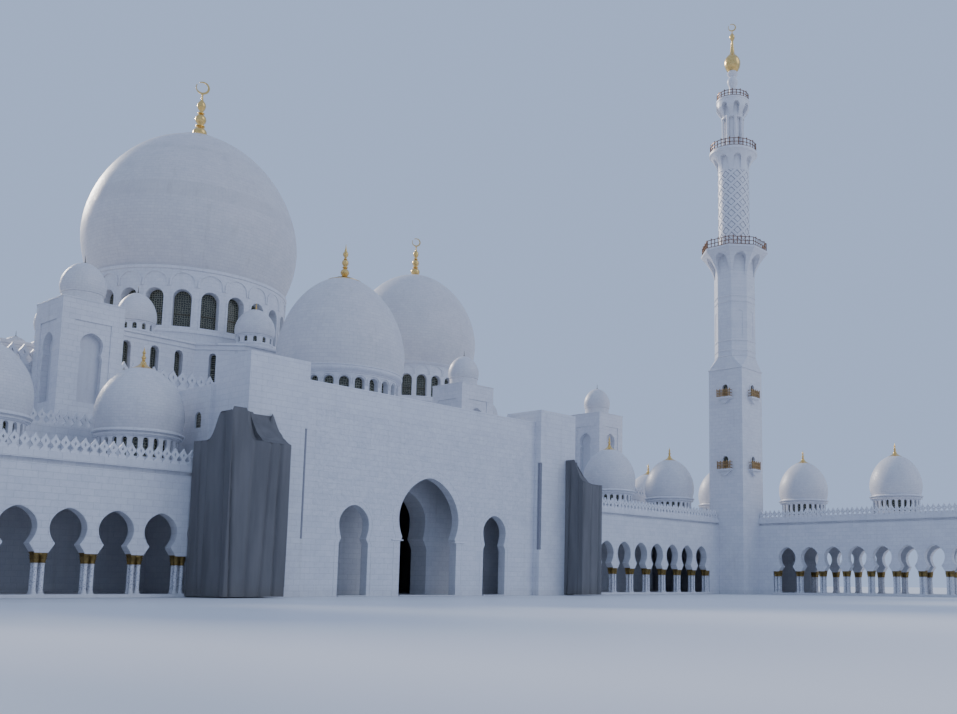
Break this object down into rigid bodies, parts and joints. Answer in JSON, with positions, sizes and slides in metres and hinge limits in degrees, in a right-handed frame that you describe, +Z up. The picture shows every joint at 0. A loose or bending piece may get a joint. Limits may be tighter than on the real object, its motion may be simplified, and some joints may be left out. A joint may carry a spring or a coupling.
{
  "type": "1:10 scale model of a domed mosque building with an arcaded court",
  "caption": "White marble mosque as a 1:10 model: arched portal between pylons, onion domes on windowed drums, arcaded wings, side arcades and tall corner minarets.",
  "frame": {"origin": "on the ground under the middle of the main arch, in the front face of the portal wall, on the underside of the door sill", "axes": "+X along the portal wall to the right as seen from the court, +Y into the building, +Z up"},
  "size_m": [17.75, 13.481, 10.7],
  "materials": {
    "marble": "honed white marble in coursed blocks",
    "dome_marble": "honed white marble mosaic, slightly warm",
    "gold": "polished gold-coloured metal",
    "window_lattice": "dark glazing behind a fine lattice",
    "cover_cloth": "dull woven sheeting"
  },
  "bodies": {
    "root": {"portal_wall": "marble", "right_pylon": "marble", "left_pylon": "marble", "foyer_arch_wall": "marble", "right_foyer_side_wall": "marble", "left_foyer_side_wall": "marble", "foyer_roof": "marble", "right_hall_front_wall": "marble", "left_hall_front_wall": "marble", "right_hall_side_wall": "marble", "left_hall_side_wall": "marble", "hall_back_wall": "marble", "hall_upper_front_wall": "marble", "hall_upper_roof": "marble", "clerestory_walls": "marble", "clerestory_glass": "window_lattice", "clerestory_roof": "marble", "right_inner_turret": "marble", "left_inner_turret": "marble", "right_outer_turret": "marble", "left_outer_turret": "marble", "main_drum": "marble", "main_drum_glass": "window_lattice", "main_dome": "dome_marble", "main_dome_finial": "gold", "right_flank_drum": "marble", "left_flank_drum": "marble", "right_flank_drum_glass": "window_lattice", "left_flank_drum_glass": "window_lattice", "right_flank_dome": "dome_marble", "left_flank_dome": "dome_marble", "right_flank_dome_finial": "gold", "left_flank_dome_finial": "gold", "foyer_drum": "marble", "foyer_drum_glass": "window_lattice", "foyer_dome": "dome_marble", "foyer_dome_finial": "gold", "right_wing_wall": "marble", "left_wing_wall": "marble", "right_wing_columns": "marble", "left_wing_columns": "marble", "right_wing_roof": "marble", "left_wing_roof": "marble", "right_side_arcade_inner_wall": "marble", "left_side_arcade_inner_wall": "marble", "right_side_arcade_outer_wall": "marble", "left_side_arcade_outer_wall": "marble", "right_side_arcade_columns": "marble", "left_side_arcade_columns": "marble", "right_side_arcade_roof": "marble", "left_side_arcade_roof": "marble", "right_minaret_shaft": "marble", "left_minaret_shaft": "marble", "right_minaret_upper_shaft": "marble", "left_minaret_upper_shaft": "marble", "right_minaret_finial": "gold", "left_minaret_finial": "gold", "right_scaffold_cover": "cover_cloth", "left_scaffold_cover": "cover_cloth"}
  },
  "joints": []
}
